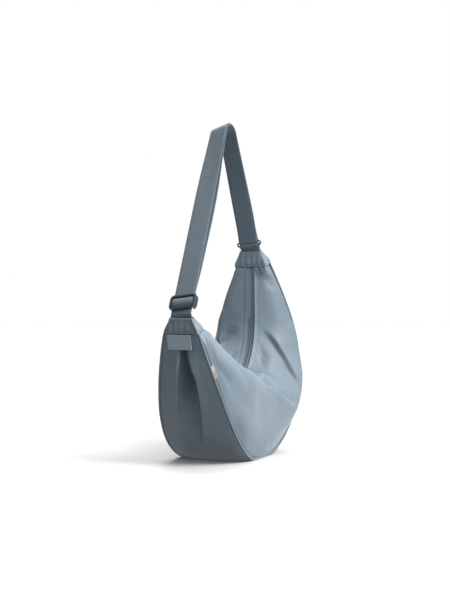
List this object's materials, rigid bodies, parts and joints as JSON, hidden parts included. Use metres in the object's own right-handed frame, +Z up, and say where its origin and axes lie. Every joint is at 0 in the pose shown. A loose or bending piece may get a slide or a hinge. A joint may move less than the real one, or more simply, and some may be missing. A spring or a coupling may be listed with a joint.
{
  "type": "crescent shoulder bag",
  "caption": "Crescent shoulder bag in padded nylon with a curved top zip, pleated ends and a webbing strap that adjusts through a three-bar slide and hangs on a ring",
  "frame": {"origin": "middle of the flat stretch of the base on which the bag stands", "axes": "+X from the near horn to the far horn, +Y to the back, +Z up"},
  "size_m": [0.4996, 0.2368, 0.7807],
  "materials": {
    "shell_cloth": "smooth blue-grey nylon with a soft satin sheen",
    "lining_cloth": "thin plain woven lining, matt",
    "webbing": "flat woven nylon webbing",
    "zip_tape": "knitted zip tape, matt",
    "zip_coil": "fine nylon coil",
    "zip_metal": "painted to match the cloth",
    "fitting_plastic": "moulded acetal, soft gloss",
    "tag_cloth": "plain woven loop tag"
  },
  "bodies": {
    "bag": {"front_panel": "shell_cloth", "back_panel": "shell_cloth", "gusset": "shell_cloth", "front_seam_welt": "shell_cloth", "back_seam_welt": "shell_cloth", "zip_tape_front": "zip_tape", "zip_tape_back": "zip_tape", "zip_coil_front": "zip_coil", "zip_coil_back": "zip_coil", "near_zip_stop": "zip_metal", "far_zip_stop": "zip_metal", "near_end_cap": "shell_cloth", "far_end_cap": "shell_cloth", "near_webbing_patch": "webbing", "far_webbing_patch": "webbing", "side_tag": "tag_cloth", "lining_front": "lining_cloth", "lining_back": "lining_cloth", "lining_gusset": "lining_cloth", "near_root_webbing": "webbing", "far_webbing_loop": "webbing"},
    "zip_slider": {"zip_slider": "zip_metal"},
    "zip_pull": {"zip_pull": "zip_metal"},
    "strap": {"strap_webbing": "webbing", "strap_slack_run": "webbing"},
    "adjuster": {"three_bar_slide": "fitting_plastic", "strap_end_loop": "webbing", "strap_over_bar": "webbing"},
    "ring": {"far_ring": "fitting_plastic"}
  },
  "joints": [
    {"name": "zip_travel", "type": "hinge", "parent": "bag", "child": "zip_slider", "pos_m": [-0.01378, 0, 0.31396], "axis": [0, -1, 0], "range_deg": [0, 135.62]},
    {"name": "zip_pull_swing", "type": "hinge", "parent": "zip_slider", "child": "zip_pull", "pos_m": [-0.13611, 0, 0.20729], "axis": [0, -1, 0], "range_deg": [0, 160]},
    {"name": "strap_swing", "type": "hinge", "parent": "bag", "child": "strap", "pos_m": [-0.23085, 0.008, 0.32985], "axis": [0.9245, -0.0194, 0.3806], "range_deg": [-52.5, 67.5], "deforming": ["near_end_cap", "far_end_cap", "near_root_webbing", "far_webbing_loop"]},
    {"name": "strap_adjust", "type": "slide", "parent": "strap", "child": "adjuster", "axis": [0.5343, 0.0602, 0.8432], "range_m": [0, 0.24], "deforming": ["strap_slack_run"]},
    {"name": "ring_pivot", "type": "hinge", "parent": "strap", "child": "ring", "pos_m": [0.1437, 0.00217, 0.50182], "axis": [0.0676, 0.9912, -0.1137], "range_deg": [-8, 8]}
  ]
}
